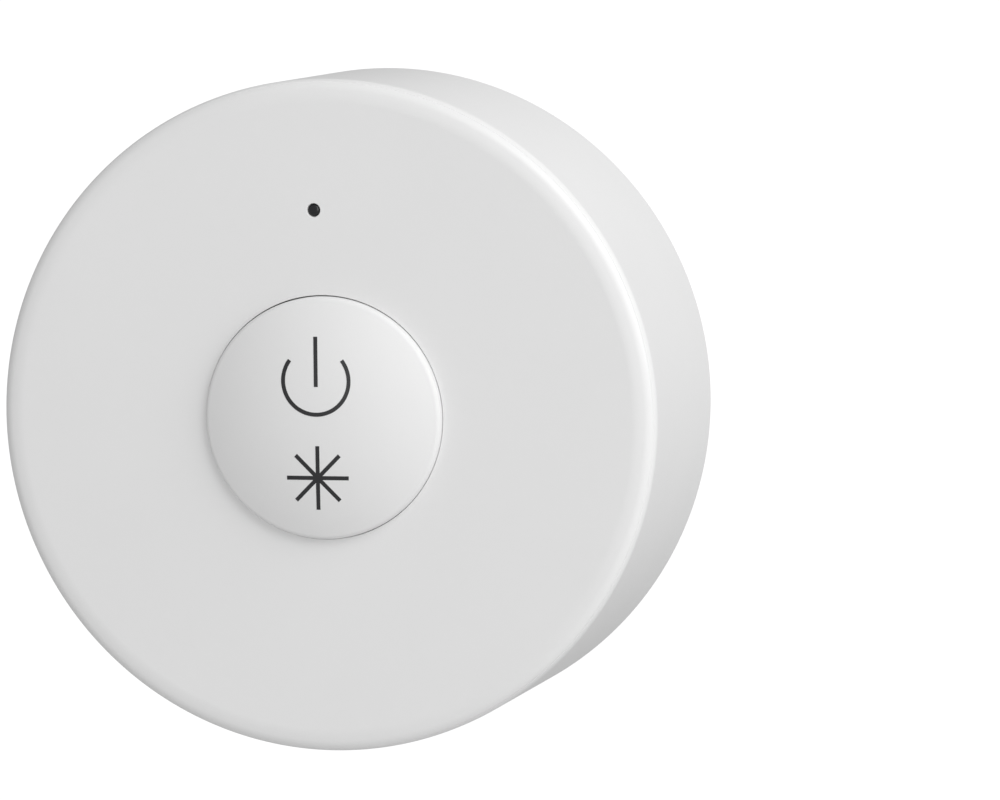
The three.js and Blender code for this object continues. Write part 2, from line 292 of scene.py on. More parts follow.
def show(piece, material, body=None, nodes=()):
    """Brings a piece to metres and gives it its material, its body and the nodes it replaces."""
    piece.data.transform(Matrix.Scale(MM, 4))
    shade(piece)
    piece.data.materials.clear()
    piece.data.materials.append(material)
    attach(piece, body or frame["nodes"][nodes[0]]["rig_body"])
    if nodes:
        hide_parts(*nodes)
    return piece


# ---------- materials ----------

CLOUD_SCALE = 90  # features per metre, as are the other scales
SHEEN_SCALE = 160
TARNISH_SCALE = 140
FOAM_BLOTCH_SCALE = 500
FOAM_CELL_SCALE = 3500
FOAM_CELL_DEPTH = 0.06 * MM
PLASTIC_IOR = 1.49


def new_material(name):
    """A material with its node tree and its shader node."""
    material = bpy.data.materials.new(name)
    material.use_nodes = True
    tree = material.node_tree
    return material, tree, tree.nodes["Principled BSDF"]


def noise(tree, scale, detail=2.0, stretch=None):
    """A noise over the surface. Scale is in features per metre."""
    coordinates = tree.nodes.new("ShaderNodeTexCoord").outputs["Object"]
    if stretch:
        mapping = tree.nodes.new("ShaderNodeMapping")
        mapping.inputs["Scale"].default_value = stretch
        tree.links.new(coordinates, mapping.inputs["Vector"])
        coordinates = mapping.outputs["Vector"]
    texture = tree.nodes.new("ShaderNodeTexNoise")
    texture.inputs["Scale"].default_value = scale
    texture.inputs["Detail"].default_value = detail
    tree.links.new(coordinates, texture.inputs["Vector"])
    return texture.outputs["Fac"]


def ranged(tree, value, low, high, spread=0.42):
    """A noise value brought to run from low to high."""
    node = tree.nodes.new("ShaderNodeMapRange")
    node.inputs["From Min"].default_value = 0.5 - spread
    node.inputs["From Max"].default_value = 0.5 + spread
    node.inputs["To Min"].default_value = low
    node.inputs["To Max"].default_value = high
    tree.links.new(value, node.inputs["Value"])
    return node.outputs["Result"]


def bumped(tree, shader, height, depth, strength=1.0):
    """Bumps of a real depth, in metres."""
    bump = tree.nodes.new("ShaderNodeBump")
    bump.inputs["Distance"].default_value = depth
    bump.inputs["Strength"].default_value = strength
    tree.links.new(height, bump.inputs["Height"])
    tree.links.new(bump.outputs["Normal"], shader.inputs["Normal"])


def tinted(tree, shader, value, dark, light):
    """The base colour runs from dark to light with a noise value."""
    mix = tree.nodes.new("ShaderNodeMix")
    mix.data_type = "RGBA"
    mix.inputs["A"].default_value = (*dark, 1)
    mix.inputs["B"].default_value = (*light, 1)
    tree.links.new(ranged(tree, value, 0, 1), mix.inputs["Factor"])
    tree.links.new(mix.outputs["Result"], shader.inputs["Base Color"])


def moulded(name, colour, roughness, grain_depth, grain_scale=2600, variation=0.012):
    """Moulded plastic: an even colour, faint cloudy sheen and a fine spark-eroded grain."""
    material, tree, shader = new_material(name)
    dark = [c * (1 - variation) for c in colour]
    light = [c * (1 + variation) for c in colour]
    tinted(tree, shader, noise(tree, CLOUD_SCALE, 3), dark, light)
    sheen = ranged(tree, noise(tree, SHEEN_SCALE, 4), roughness - 0.03, roughness + 0.03)
    tree.links.new(sheen, shader.inputs["Roughness"])
    bumped(tree, shader, noise(tree, grain_scale, 3), grain_depth)
    shader.inputs["IOR"].default_value = PLASTIC_IOR
    return material


def metal(name, colour, roughness, scratch_depth, stretch=(1, 1, 1), scale=900):
    """Bare metal with fine marks drawn out along one way."""
    material, tree, shader = new_material(name)
    shader.inputs["Metallic"].default_value = 1.0
    tinted(tree, shader, noise(tree, TARNISH_SCALE, 3), [c * 0.94 for c in colour], colour)
    marks = noise(tree, scale, 4, stretch)
    tree.links.new(ranged(tree, marks, roughness - 0.06, roughness + 0.08), shader.inputs["Roughness"])
    bumped(tree, shader, marks, scratch_depth)
    return material


def foam(name, colour):
    """Closed-cell foam: small round cells, dull and dark."""
    material, tree, shader = new_material(name)
    blotches = noise(tree, FOAM_BLOTCH_SCALE, 4)
    tinted(tree, shader, blotches, [c * 0.7 for c in colour], [c * 1.4 for c in colour])
    shader.inputs["Roughness"].default_value = 0.9
    cells = tree.nodes.new("ShaderNodeTexVoronoi")
    cells.inputs["Scale"].default_value = FOAM_CELL_SCALE
    coordinates = tree.nodes.new("ShaderNodeTexCoord").outputs["Object"]
    tree.links.new(coordinates, cells.inputs["Vector"])
    bumped(tree, shader, cells.outputs["Distance"], FOAM_CELL_DEPTH)
    return material


shell_white = moulded("shell white", (0.80, 0.80, 0.80), 0.36, 0.0016 * MM)
button_white = moulded("button white", (0.79, 0.79, 0.79), 0.55, 0.0016 * MM)
back_white = moulded("back white", (0.76, 0.76, 0.765), 0.5, 0.006 * MM, grain_scale=1800)
holder_black = moulded("holder black", (0.03, 0.03, 0.033), 0.5, 0.004 * MM, variation=0.1)
pin_grey = moulded("pin grey", (0.17, 0.17, 0.18), 0.45, 0.003 * MM, variation=0.05)
ink = moulded("sign ink", (0.018, 0.018, 0.02), 0.42, 0.001 * MM, variation=0.06)
# painted shade: the light pipe is a real part, but this near-black colour on its nose in the pinhole
# stands in for the shade inside the hole
dark_lens_painted_shade = moulded("dark lens painted shade", (0.012, 0.012, 0.014), 0.12, 0.0005 * MM, variation=0.1)
board_green = moulded("solder mask", (0.02, 0.13, 0.06), 0.3, 0.003 * MM, variation=0.15)
module_blue = moulded("module mask", (0.02, 0.035, 0.07), 0.3, 0.003 * MM, variation=0.15)
chip_black = moulded("chip resin", (0.025, 0.025, 0.028), 0.45, 0.004 * MM, variation=0.1)
led_clear = moulded("led resin", (0.8, 0.74, 0.5), 0.2, 0.001 * MM)
steel = metal("rolled steel", (0.56, 0.57, 0.58), 0.34, 0.004 * MM, (1, 1, 0.06))
screw_steel = metal("dark screw", (0.22, 0.225, 0.23), 0.36, 0.002 * MM)
cell_steel = metal("cell steel", (0.58, 0.59, 0.6), 0.25, 0.002 * MM)
nickel = metal("nickel plate", (0.66, 0.65, 0.63), 0.2, 0.001 * MM)
tinned = metal("tinned sheet", (0.62, 0.62, 0.61), 0.38, 0.003 * MM)
contact_gold = metal("plated strip", (0.72, 0.58, 0.3), 0.28, 0.001 * MM)
pad_foam = foam("pad foam", (0.035, 0.035, 0.037))
floor_pale = moulded(
    "floor paper", (0.72, 0.72, 0.72), 0.8, 0.02 * MM, grain_scale=700, variation=0.004
)

# ---------- the puck's shell ----------

FACE_THICKNESS = 2.0
INSIDE_Y = FACE_Y + FACE_THICKNESS
LEAD_IN_RADIUS = 4.4  # the face turns down gently before its tight rounding
LEAD_IN_TURN = math.radians(12)
EDGE_ROUNDING = 1.05
GROOVE_START = math.radians(50)  # where the fine witness line lies on the rounding
GROOVE_DEPTH = 0.08
LIP_ROUNDING = 1.2
LIP_START = math.radians(58)
LIP_BACK = 1.26
CAP_PLAY = 0.06
HOLE_RADIUS = CAP_RADIUS + CAP_PLAY
HOLE_EASE = 0.06  # the rounding of the hole's front edge
HOLE_EASE_STEPS = 6
PINHOLE_RADIUS = 0.5
PINHOLE_FLARE = 0.07
SHELL_INNER = COVER_RADIUS - 0.4
COVER_SEAT_RADIUS = COVER_RADIUS + 0.4
COVER_INSIDE_Y = COVER_Y - 1.6
COVER_SEAT_Y = COVER_INSIDE_Y - 0.3
GUIDE_INNER = cap_high.x + 0.4
GUIDE_OUTER = GUIDE_INNER + 0.9
GUIDE_BACK_Y = INSIDE_Y + 3
SLEEVE_RADIUS = 2.2
PIPE_BORE = 1.3
PIPE_BORE_Y = FACE_Y + 1.2
PINHOLE_END_Y = PIPE_BORE_Y + 0.3
BOSS_RADIUS = 2.4
BOSS_BACK_Y = COVER_Y - 3.6
SCREW_HOLE_RADIUS = 1.15
SCREW_LENGTH = 6.0


def turn_of(angle):
    """A unit step along (radius, y) at an angle from the face's way out."""
    return Vector((math.sin(angle), -math.cos(angle)))


def arc_points(centre, radius, start, stop, steps):
    """Points along an arc between two angles from the face's way out."""
    angles = [start + (stop - start) * k / steps for k in range(steps + 1)]
    return [centre + turn_of(angle) * radius for angle in angles]


def edge_profile():
    """From the face out to the side wall: lead-in, rounding, witness groove and lip."""
    lead_out = LEAD_IN_RADIUS * math.sin(LEAD_IN_TURN)
    round_out = EDGE_ROUNDING * (1 - math.sin(LEAD_IN_TURN))
    lead_centre = Vector((PUCK_RADIUS - round_out - lead_out, FACE_Y + LEAD_IN_RADIUS))
    lead_in = arc_points(lead_centre, LEAD_IN_RADIUS, 0, LEAD_IN_TURN, 6)
    round_centre = lead_in[-1] - turn_of(LEAD_IN_TURN) * EDGE_ROUNDING
    rounding = arc_points(round_centre, EDGE_ROUNDING, LEAD_IN_TURN, GROOVE_START, 10)
    lip_centre = Vector((PUCK_RADIUS - LIP_ROUNDING, FACE_Y + LIP_BACK))
    lip = arc_points(lip_centre, LIP_ROUNDING, LIP_START, math.pi / 2, 8)
    groove = (rounding[-1] + lip[0]) / 2 - turn_of(GROOVE_START) * GROOVE_DEPTH
    return lead_in + rounding[1:] + [groove] + lip


def screw_places():
    """Where the three rear screws stand, as (x, z)."""
    return [middle(f"rear_screw_{k}") for k in (1, 2, 3)]


def make_shell():
    """The face and the side wall in one, with the button's guide and the screw bosses inside."""
    ease_angles = [math.radians(90 * k / HOLE_EASE_STEPS) for k in range(HOLE_EASE_STEPS + 1)]
    hole_ease = [
        (HOLE_RADIUS + HOLE_EASE * (1 - math.sin(a)), FACE_Y + HOLE_EASE * (1 - math.cos(a)))
        for a in ease_angles
    ]
    behind = rounded(
        [
            (HOLE_RADIUS, INSIDE_Y, 0),
            (SHELL_INNER, INSIDE_Y, 0.4),
            (SHELL_INNER, COVER_SEAT_Y, 0.05),
            (COVER_SEAT_RADIUS, COVER_SEAT_Y, 0.1),
            (COVER_SEAT_RADIUS, RIM_Y, 0.15),
            (PUCK_RADIUS, RIM_Y, 0.25),
            (PUCK_RADIUS, FACE_Y + LIP_BACK, 0),
        ],
        closed=False,
    )
    edge = [tuple(point) for point in reversed(edge_profile())]
    shell = turned("shell_moulding", behind[:-1] + edge + hole_ease)
    joint_y = INSIDE_Y - OVERLAP
    guide = [
        (GUIDE_INNER, GUIDE_BACK_Y),
        (GUIDE_OUTER, GUIDE_BACK_Y),
        (GUIDE_OUTER, joint_y),
        (GUIDE_INNER, joint_y),
    ]
    added = [turned("guide", guide)]
    added.append(disc("sleeve", SLEEVE_RADIUS, GUIDE_BACK_Y, joint_y, pinhole_place))
    cut = [disc("bore", PIPE_BORE, GUIDE_BACK_Y + BEYOND, PIPE_BORE_Y, pinhole_place)]
    cut.append(flared("pinhole", PINHOLE_RADIUS, FACE_Y, PINHOLE_END_Y, pinhole_place, PINHOLE_FLARE))
    hole_end = BOSS_BACK_Y - SCREW_LENGTH
    for place in screw_places():
        added.append(disc("boss", BOSS_RADIUS, BOSS_BACK_Y, joint_y, place))
        cut.append(disc("screw hole", SCREW_HOLE_RADIUS, BOSS_BACK_Y + BEYOND, hole_end, place))
    return shaped(shaped(shell, "UNION", added), "DIFFERENCE", cut)


show(make_shell(), shell_white, nodes=["front_shell"])

# ---------- the button ----------

CAP_RIM_PROUD = 0.65
CAP_EDGE_ROUNDING = 0.5
DOME_POWER = 2.3  # above 2 the dome is flatter in the middle and steeper near its edge
CAP_WALL = 1.4
RIM_FRONT_Y = FACE_Y - CAP_RIM_PROUD
DOME_RINGS = 28
DOME_END = CAP_RADIUS - 1.2  # where the dome's rings end and its rounded edge begins
FLANGE_FRONT_Y = INSIDE_Y + 0.3
STEM_RADIUS = 2.0
STEM_FRONT_Y = CROWN_Y + 1
STEM_BACK_Y = plunger_low.y - 0.1  # just clear of the switch's plunger
RIB_LENGTH = 16
RIB_WIDTH = 1
RIB_FRONT_Y = CROWN_Y + 1.9
RIB_BACK_Y = CROWN_Y + 3.6


def dome_y(distance):
    """The depth of the button's dome at a distance from its middle."""
    return CROWN_Y + (RIM_FRONT_Y - CROWN_Y) * (distance / CAP_RADIUS) ** DOME_POWER


def make_button():
    """The domed cap, hollow behind, with a flange that keeps it in, a stem and two crossed ribs."""
    inner = CAP_RADIUS - CAP_WALL
    radii = [DOME_END * k / DOME_RINGS for k in range(DOME_RINGS + 1)]
    dome = [(radius, dome_y(radius)) for radius in radii]
    outer = rounded(
        [
            (DOME_END, dome_y(DOME_END), 0),
            (CAP_RADIUS, dome_y(CAP_RADIUS), CAP_EDGE_ROUNDING),
            (CAP_RADIUS, FLANGE_FRONT_Y, 0.05),
            (cap_high.x, FLANGE_FRONT_Y, 0.1),
            (cap_high.x, cap_high.y, 0.1),
            (inner, cap_high.y, 0.1),
            (inner, dome_y(inner) + CAP_WALL, 0.4),
            (0, CROWN_Y + CAP_WALL, 0),
        ],
        closed=False,
    )
    button = turned("button_dome", dome + outer[1:], CAP_ASIDE, closed=False)
    stem = disc("stem", STEM_RADIUS, STEM_BACK_Y, STEM_FRONT_Y)
    ribs = [
        rectangle("rib", width, height, RIB_BACK_Y, RIB_FRONT_Y)
        for width, height in ((RIB_LENGTH, RIB_WIDTH), (RIB_WIDTH, RIB_LENGTH))
    ]
    return shaped(button, "UNION", [stem] + ribs)


show(make_button(), button_white, nodes=["button_cap"])

# ---------- the signs printed on the button ----------

STROKE = 0.30
INK_PROUD = 0.012
PRINT_GRID = 0.4  # the spacing at which the flat signs are cut to follow the dome
PRINT_TURN = math.radians(-1.7)  # the print is turned a little on the dome
PRINT_LEAN = (0.25, 0.086)  # how far the pad that prints it drags x and z as the dome falls away
POWER_MIDDLE = 2.9
POWER_RADIUS = 2.5
POWER_GAP = math.radians(52.5)  # half of the ring's opening at the top
POWER_STEPS = 64
BAR_TOP = POWER_MIDDLE + 3.27
BAR_FOOT = POWER_MIDDLE - 0.45
STAR_MIDDLE = -4.3
STAR_ARM = 2.36
STAR_ARMS = 8


def cut_along_grid(bm, spacing):
    """Cuts flat faces along a square grid, so that they can follow a curve."""
    for axis, normal in ((0, (1, 0, 0)), (2, (0, 0, 1))):
        low = min(vert.co[axis] for vert in bm.verts)
        high = max(vert.co[axis] for vert in bm.verts)
        for k in range(math.ceil(low / spacing), math.ceil(high / spacing)):
            geometry = list(bm.verts) + list(bm.edges) + list(bm.faces)
            place = [coordinate * k * spacing for coordinate in normal]
            bmesh.ops.bisect_plane(bm, geom=geometry, plane_co=place, plane_no=normal)


def on_dome(name, outline, height):
    """A flat outline of (x, z) round a height, laid on the dome as a thin closed skin of ink."""
    turn = Matrix.Rotation(PRINT_TURN, 2)
    points = [turn @ Vector(point) for point in outline]
    bm = bmesh.new()
    bm.faces.new([bm.verts.new((x, 0, z)) for x, z in points])
    cut_along_grid(bm, PRINT_GRID)
    bmesh.ops.triangulate(bm, faces=bm.faces)
    for vert in bm.verts:
        fall = dome_y(math.hypot(vert.co.x, vert.co.z)) - dome_y(abs(height))
        vert.co.x -= PRINT_LEAN[0] * fall
        vert.co.z -= PRINT_LEAN[1] * fall
    top = list(bm.faces)
    copy = bmesh.ops.duplicate(bm, geom=list(bm.verts) + list(bm.edges) + top)
    under = [item for item in copy["geom"] if isinstance(item, bmesh.types.BMVert)]
    pairs = copy["vert_map"]
    for vert in under:
        vert.co.y = dome_y(math.hypot(vert.co.x, vert.co.z)) + INK_PROUD
    for face in top:
        for vert in face.verts:
            vert.co.y = dome_y(math.hypot(vert.co.x, vert.co.z)) - INK_PROUD
    for edge in [edge for edge in bm.edges if edge.is_boundary and edge.verts[0] not in under]:
        a, b = edge.verts
        bm.faces.new((a, b, pairs[b], pairs[a]))
    bmesh.ops.recalc_face_normals(bm, faces=bm.faces)
    return new_piece(name, bm)


def power_ring():
    """The power sign's ring, open at the top."""
    start, sweep = math.pi / 2 + POWER_GAP, 2 * math.pi - 2 * POWER_GAP
    angles = [start + sweep * k / POWER_STEPS for k in range(POWER_STEPS + 1)]
    inner, outer = POWER_RADIUS - STROKE / 2, POWER_RADIUS + STROKE / 2
    outline = [(outer * math.cos(a), POWER_MIDDLE + outer * math.sin(a)) for a in angles]
    outline += [(inner * math.cos(a), POWER_MIDDLE + inner * math.sin(a)) for a in reversed(angles)]
    return outline


def power_bar():
    """The power sign's upright bar."""
    half = STROKE / 2
    return [(-half, BAR_FOOT), (half, BAR_FOOT), (half, BAR_TOP), (-half, BAR_TOP)]


def star():
    """Eight arms that meet in the middle, as one outline."""
    half = STROKE / 2
    corner = half / math.sin(math.pi / STAR_ARMS)
    outline = []
    for k in range(STAR_ARMS):
        a = 2 * math.pi * k / STAR_ARMS
        along = Vector((math.cos(a), math.sin(a)))
        across = Vector((-math.sin(a), math.cos(a)))
        outline += [along * STAR_ARM - across * half, along * STAR_ARM + across * half]
        between = a + math.pi / STAR_ARMS
        outline.append(Vector((math.cos(between), math.sin(between))) * corner)
    return [(x, STAR_MIDDLE + z) for x, z in outline]


show(on_dome("sign_ring", power_ring(), POWER_MIDDLE), ink, body="button")
show(on_dome("sign_bar", power_bar(), POWER_MIDDLE), ink, body="button")
show(on_dome("sign_star", star(), STAR_MIDDLE), ink, body="button")

# ---------- the indicator's light pipe ----------

# the nose is brought up close behind the face so that its near-black colour fills the pinhole as painted
# shade
NOSE_RADIUS = PINHOLE_RADIUS - 0.05
NOSE_BACK = 0.14  # from the face to the tip of the nose
PIPE_RADIUS = 1.1


def make_light_pipe():
    """A near-black pipe whose narrow nose fills the pinhole. The pipe is a real part, but its dark colour
    there is painted shade of the hole.
    """
    shoulder_y = PIPE_BORE_Y + 0.1
    corners = [
        (0, pipe_high.y, 0),
        (PIPE_RADIUS, pipe_high.y, 0.08),
        (PIPE_RADIUS, shoulder_y, 0.15),
        (NOSE_RADIUS, shoulder_y, 0),
        (NOSE_RADIUS, FACE_Y + NOSE_BACK, 0.12),
        (0, FACE_Y + NOSE_BACK - 0.03, 0),
    ]
    profile = rounded(corners, closed=False)
    return turned("dark_pipe_painted_shade", profile, pinhole_place, AROUND_SMALL, closed=False)


show(make_light_pipe(), dark_lens_painted_shade, nodes=["light_pipe"])

# ---------- the back of the puck ----------

DOOR_RADIUS = 13.4
DOOR_PLAY = 0.25
LUG_OUTER = 14.5
LUG_ANGLES = (90, 210, 330)
LUG_WIDTH = 22  # degrees
DOOR_TWIST = 35  # degrees from shut to where the lugs meet the gaps in the cover
LUG_BACK_Y = COVER_INSIDE_Y - 1.1
POCKET_FLOOR_Y = COVER_Y - 2.1
CUP_END_Y = COVER_Y - 3.3
CUP_RADIUS = 2.6
CUP_FLARE = 0.25
CUP_BACK_Y = COVER_Y - 0.4  # the cups and the pockets start inside the cover's thickness
SCREW_HEAD_HOLE_RADIUS = 2.1
MAGNET_RADIUS = 2.5
MAGNET_PLAY = 0.2
MAGNET_BACK_Y = COVER_Y - 0.7
POCKET_WALL = 0.8
POCKET_END_Y = COVER_Y - 3
LUG_GAP_PLAY = 4  # degrees
PIN_RADIUS = 1.5
PIN_COLLAR = 0.8
PIN_HOLE_PLAY = 0.2
PIN_GAP = 0.32  # a little more than the pin travels
KEY_WIDTH, KEY_HEIGHT = 4.0, 1.4
KEY_Z = COVER_RADIUS - 0.9

MARK_DEPTH = 0.15
SHUT_MARK_OUT = 16.0  # how far from the middle the arrow that says shut is
SHUT_MARK_SIZE = 0.7
OPEN_MARK_OUT = 16.3
OPEN_MARK_RADIUS = 0.5
POINTER_OUT = 11.3
POINTER_SIZE = 0.8

DISH_RADIUS = 8.3
DISH_SLOPE = 0.6
DISH_DEPTH = 0.22
DOOR_PANEL = 1.4
DOOR_SKIRT = 0.8
SLOT_LENGTH, SLOT_WIDTH, SLOT_DEPTH = 13, 1.8, 0.8

SCREW_HEAD_RADIUS = 1.8
SCREW_HEAD_ROUNDING = 0.45
SHANK_RADIUS = 0.95
SCREW_TIP = 0.8
CROSS_LENGTH, CROSS_WIDTH, CROSS_DEPTH = 2.2, 0.42, 0.65
HOLLOW_RADIUS, HOLLOW_DEPTH = 0.5, 0.5


def wedge(name, radius, angle, size, pointing):
    """A small triangle cut into a face. Pointing is 1 for outwards and -1 for inwards."""
    a = math.radians(angle)
    out = Vector((math.cos(a), math.sin(a)))
    across = Vector((-math.sin(a), math.cos(a)))
    tip = out * (radius + pointing * size)
    foot = out * (radius - pointing * size * 0.6)
    outline = [tip, foot + across * size, foot - across * size]
    return extruded(name, outline, COVER_Y + BEYOND, COVER_Y - MARK_DEPTH)


def make_cover():
    """The ring round the battery door, with screw cups, magnet pockets and the wall plate's key."""
    opening = DOOR_RADIUS + DOOR_PLAY
    corners = [
        (opening, COVER_Y, 0.2),
        (COVER_RADIUS, COVER_Y, 0.3),
        (COVER_RADIUS, COVER_INSIDE_Y, 0.2),
        (opening, COVER_INSIDE_Y, 0.2),
    ]
    cover = turned("cover_moulding", rounded(corners))
    added = []
    cut = []
    for place in screw_places():
        added.append(disc("cup", CUP_RADIUS, CUP_BACK_Y, CUP_END_Y, place))
        cut.append(flared("head hole", SCREW_HEAD_HOLE_RADIUS, COVER_Y, POCKET_FLOOR_Y, place, CUP_FLARE))
        cut.append(disc("shank hole", SCREW_HOLE_RADIUS, COVER_Y, CUP_END_Y - BEYOND, place))
    for place in [middle(f"magnet_{k}") for k in (1, 2, 3, 4)]:
        added.append(disc("pocket", MAGNET_RADIUS + POCKET_WALL, CUP_BACK_Y, POCKET_END_Y, place))
        hole_radius = MAGNET_RADIUS + MAGNET_PLAY
        cut.append(disc("magnet hole", hole_radius, MAGNET_BACK_Y, POCKET_END_Y - BEYOND, place))
    key_front_y = COVER_Y - OVERLAP
    added.append(rectangle("key", KEY_WIDTH, KEY_HEIGHT, cover_high.y, key_front_y, (0, KEY_Z)))
    gap_inner, gap_outer = opening - BEYOND, LUG_OUTER + DOOR_PLAY
    gap_back_y, gap_width = COVER_Y + BEYOND, LUG_WIDTH + LUG_GAP_PLAY
    for angle in LUG_ANGLES:
        gap_angle = angle - DOOR_TWIST
        cut.append(sector("lug gap", gap_inner, gap_outer, gap_back_y, CUP_END_Y, gap_angle, gap_width))
    pin_place = middle("pairing_button")
    pin_hole_radius = PIN_RADIUS + PIN_HOLE_PLAY
    cut.append(flared("pin hole", pin_hole_radius, COVER_Y, CUP_END_Y, pin_place, 0.2))
    cut.append(wedge("shut mark", SHUT_MARK_OUT, LUG_ANGLES[0], SHUT_MARK_SIZE, -1))
    a = math.radians(LUG_ANGLES[0] - DOOR_TWIST)
    open_place = (OPEN_MARK_OUT * math.cos(a), OPEN_MARK_OUT * math.sin(a))
    cut.append(disc("open mark", OPEN_MARK_RADIUS, COVER_Y + BEYOND, COVER_Y - MARK_DEPTH, open_place))
    return shaped(shaped(cover, "UNION", added), "DIFFERENCE", cut)


def slot_outline(length, width, steps=10):
    """A slot with round ends, lying along x."""
    outline = []
    radius = width / 2
    for side in (1, -1):
        for k in range(steps + 1):
            a = math.pi * (k / steps - 0.5) + (0 if side > 0 else math.pi)
            x = side * (length - width) / 2 + radius * math.cos(a)
            outline.append((x, radius * math.sin(a)))
    return outline


def make_door():
    """The round battery door, with a shallow dish, a coin slot, a pointer and three lugs."""
    dish_y = COVER_Y - DISH_DEPTH
    corners = [
        (0, dish_y, 0),
        (DISH_RADIUS, dish_y, 0.3),
        (DISH_RADIUS + DISH_SLOPE, COVER_Y, 0.3),
        (DOOR_RADIUS, COVER_Y, 0.3),
        (DOOR_RADIUS, LUG_BACK_Y, 0.1),
        (DOOR_RADIUS - DOOR_SKIRT, LUG_BACK_Y, 0.1),
        (DOOR_RADIUS - DOOR_SKIRT, COVER_Y - DOOR_PANEL, 0.2),
        (0, COVER_Y - DOOR_PANEL, 0),
    ]
    door = turned("door_moulding", rounded(corners, closed=False), closed=False)
    lug_inner, lug_front = DOOR_RADIUS - OVERLAP, COVER_INSIDE_Y - 0.3
    lugs = [
        sector("lug", lug_inner, LUG_OUTER, lug_front, LUG_BACK_Y, angle, LUG_WIDTH)
        for angle in LUG_ANGLES
    ]
    outline = slot_outline(SLOT_LENGTH, SLOT_WIDTH)
    coin_slot = extruded("coin slot", outline, COVER_Y + BEYOND, COVER_Y - SLOT_DEPTH)
    pointer = wedge("pointer", POINTER_OUT, LUG_ANGLES[0], POINTER_SIZE, 1)
    return shaped(shaped(door, "UNION", lugs), "DIFFERENCE", [coin_slot, pointer])


def make_screw(k):
    """A pan-headed screw with a cross recess."""
    node = f"rear_screw_{k}"
    low, high = box_mm(node)
    head_y, under_y = high.y, POCKET_FLOOR_Y + 0.1
    corners = [
        (0, head_y, 0),
        (SCREW_HEAD_RADIUS - 0.05, head_y, SCREW_HEAD_ROUNDING),
        (SCREW_HEAD_RADIUS, under_y, 0.05),
        (SHANK_RADIUS, under_y, 0),
        (SHANK_RADIUS, low.y + SCREW_TIP, 0),
        (0, low.y, 0),
    ]
    place = middle(node)
    profile = rounded(corners, closed=False)
    screw = turned(f"cross_screw_{k}", profile, place, AROUND_SMALL, closed=False)
    cross = [
        rectangle("cross", width, height, head_y + BEYOND, head_y - CROSS_DEPTH, place)
        for width, height in ((CROSS_LENGTH, CROSS_WIDTH), (CROSS_WIDTH, CROSS_LENGTH))
    ]
    hollow = disc("hollow", HOLLOW_RADIUS, head_y + BEYOND, head_y - HOLLOW_DEPTH, place)
    return shaped(screw, "DIFFERENCE", cross + [hollow])


def make_pairing_pin():
    """A pin with a collar behind the cover, so that it can't fall out."""
    end_y = pairing_switch_high.y + PIN_GAP
    corners = [
        (0, pin_high.y, 0),
        (PIN_RADIUS, pin_high.y, 0.3),
        (PIN_RADIUS, COVER_INSIDE_Y - 0.3, 0),
        (PIN_RADIUS + PIN_COLLAR, COVER_INSIDE_Y - 0.3, 0.1),
        (PIN_RADIUS + PIN_COLLAR, LUG_BACK_Y, 0.1),
        (PIN_RADIUS - 0.5, LUG_BACK_Y, 0),
        (PIN_RADIUS - 0.5, end_y, 0.1),
        (0, end_y, 0),
    ]
    profile = rounded(corners, closed=False)
    place = middle("pairing_button")
    return turned("pairing_pin_cap", profile, place, AROUND_SMALL, closed=False)


show(make_cover(), back_white, nodes=["rear_cover"])
show(make_door(), back_white, nodes=["battery_door"])
for k in (1, 2, 3):
    show(make_screw(k), screw_steel, nodes=[f"rear_screw_{k}"])
show(make_pairing_pin(), pin_grey, nodes=["pairing_button"])

# ---------- the wall plate ----------

PLATE_RADIUS = plate_high.x
PLATE_BASE_Y = steel_high.y
STEEL_OUTER = steel_high.x
STEEL_INNER = 14.5
WALL_SCREW_ASIDE = 8
WALL_SCREW_RADIUS = 2.1
COUNTERSINK = 1.9  # how far the screw hole widens at its mouth
COUNTERSINK_DEPTH = 1
NOTCH_WIDTH, NOTCH_HEIGHT = 5, 3  # the notch that the cover's key drops into
NOTCH_FLOOR = 0.4
STEEL_PLAY = 0.25
PAD_HOLE_MARGIN = 1.1


def make_plate():
    """A round plate with a low rim round the steel ring, two countersunk holes and a notch."""
    rim_inner = STEEL_OUTER + STEEL_PLAY
    corners = [
        (0, plate_high.y, 0),
        (PLATE_RADIUS, plate_high.y, 0.25),
        (PLATE_RADIUS, plate_low.y, 0.3),
        (rim_inner, plate_low.y, 0.2),
        (rim_inner, PLATE_BASE_Y, 0.1),
        (0, PLATE_BASE_Y, 0),
    ]
    plate = turned("plate_moulding", rounded(corners, closed=False), closed=False)
    cut = []
    for side in (-1, 1):
        place = (side * WALL_SCREW_ASIDE, 0)
        profile = [
            (0, 0),
            (WALL_SCREW_RADIUS, 0),
            (WALL_SCREW_RADIUS, PLATE_BASE_Y + COUNTERSINK_DEPTH),
            (WALL_SCREW_RADIUS + COUNTERSINK, PLATE_BASE_Y),
            (WALL_SCREW_RADIUS + COUNTERSINK, PLATE_BASE_Y - BEYOND),
            (0, PLATE_BASE_Y - BEYOND),
        ]
        cut.append(turned("countersink", profile, place, AROUND_SMALL, closed=False))
    notch_back, notch_front = plate_high.y - NOTCH_FLOOR, plate_low.y - BEYOND
    top = (0, PLATE_RADIUS)
    cut.append(rectangle("notch", NOTCH_WIDTH, NOTCH_HEIGHT, notch_back, notch_front, top))
    return shaped(plate, "DIFFERENCE", cut)


def make_steel_ring():
    """The flat pressed ring that the puck's magnets hold to."""
    corners = [
        (STEEL_INNER, steel_high.y, 0.12),
        (STEEL_OUTER, steel_high.y, 0.12),
        (STEEL_OUTER, steel_low.y, 0.2),
        (STEEL_INNER, steel_low.y, 0.2),
    ]
    return turned("pressed_ring", rounded(corners))


